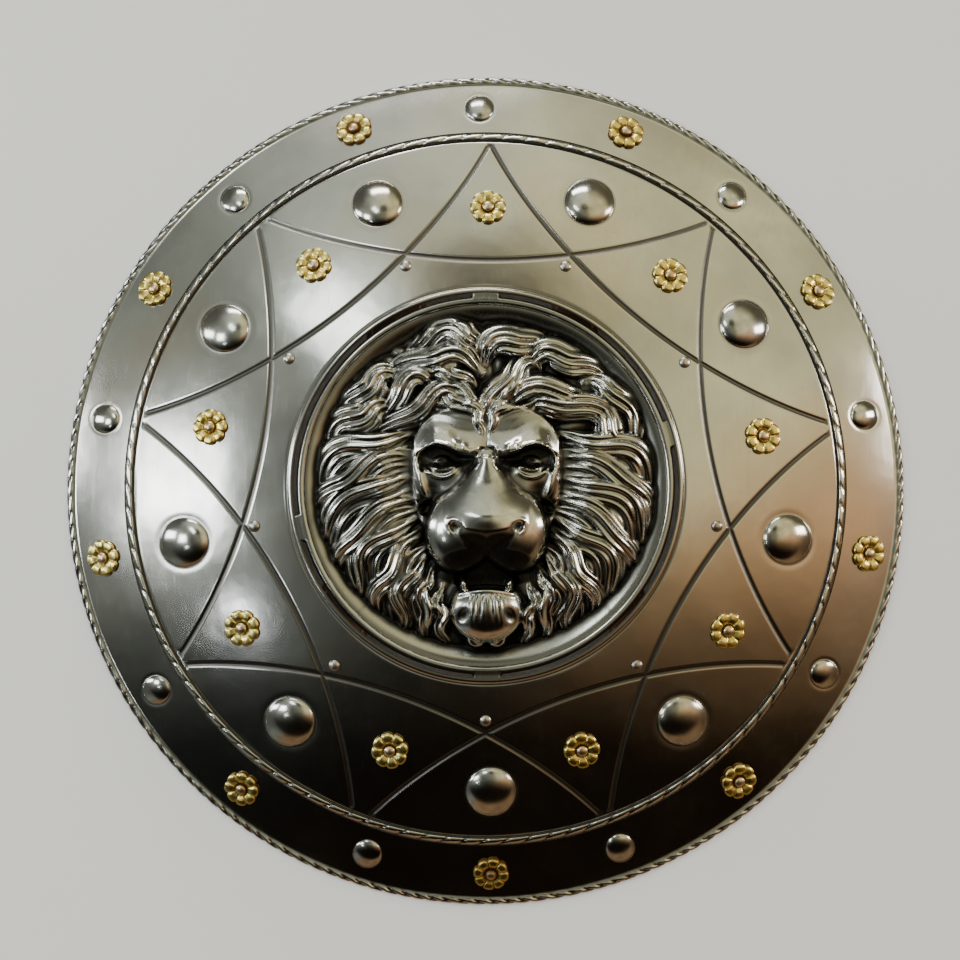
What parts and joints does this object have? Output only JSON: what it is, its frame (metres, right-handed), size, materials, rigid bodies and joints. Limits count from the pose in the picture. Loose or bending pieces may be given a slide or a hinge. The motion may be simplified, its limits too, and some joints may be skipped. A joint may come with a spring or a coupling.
{
  "type": "round shield",
  "caption": "Domed round steel shield with a lion-mask medallion, embossed studs, pressed star lines, brass rosettes, a rolled rim and two leather straps behind.",
  "frame": {"origin": "centre of the circle of the rolled rim on which the shield lies, at the rim's lowest level", "axes": "+Z along the shield's axis through the lion's face, +Y towards the top of the lion's head, +X towards the lion's left ear side as seen from the front (the right of the picture)"},
  "size_m": [0.61, 0.6032, 0.11],
  "materials": {
    "plate_steel": "polished, slightly hammered",
    "boss_steel": "polished relief, dark in the recesses",
    "rosette_brass": "aged brass, dark between the petals",
    "rivet_steel": "worn, domed heads",
    "strap_leather": "plain dark leather"
  },
  "bodies": {
    "root": {"shield_plate": "plate_steel", "lion_boss": "boss_steel", "arm_strap": "strap_leather", "hand_grip": "strap_leather", "rosette_rim_1": "rosette_brass", "rosette_rim_2": "rosette_brass", "rosette_rim_3": "rosette_brass", "rosette_rim_4": "rosette_brass", "rosette_rim_5": "rosette_brass", "rosette_rim_6": "rosette_brass", "rosette_rim_7": "rosette_brass", "rosette_rim_8": "rosette_brass", "rosette_rim_9": "rosette_brass", "rosette_star_1": "rosette_brass", "rosette_star_2": "rosette_brass", "rosette_star_3": "rosette_brass", "rosette_star_4": "rosette_brass", "rosette_star_5": "rosette_brass", "rosette_star_6": "rosette_brass", "rosette_star_7": "rosette_brass", "rosette_star_8": "rosette_brass", "rosette_star_9": "rosette_brass", "rosette_rim_rivet_1": "rivet_steel", "rosette_rim_rivet_2": "rivet_steel", "rosette_rim_rivet_3": "rivet_steel", "rosette_rim_rivet_4": "rivet_steel", "rosette_rim_rivet_5": "rivet_steel", "rosette_rim_rivet_6": "rivet_steel", "rosette_rim_rivet_7": "rivet_steel", "rosette_rim_rivet_8": "rivet_steel", "rosette_rim_rivet_9": "rivet_steel", "rosette_star_rivet_1": "rivet_steel", "rosette_star_rivet_2": "rivet_steel", "rosette_star_rivet_3": "rivet_steel", "rosette_star_rivet_4": "rivet_steel", "rosette_star_rivet_5": "rivet_steel", "rosette_star_rivet_6": "rivet_steel", "rosette_star_rivet_7": "rivet_steel", "rosette_star_rivet_8": "rivet_steel", "rosette_star_rivet_9": "rivet_steel", "plate_rivet_1": "rivet_steel", "plate_rivet_2": "rivet_steel", "plate_rivet_3": "rivet_steel", "plate_rivet_4": "rivet_steel", "plate_rivet_5": "rivet_steel", "plate_rivet_6": "rivet_steel", "plate_rivet_7": "rivet_steel", "plate_rivet_8": "rivet_steel", "plate_rivet_9": "rivet_steel"}
  },
  "joints": []
}
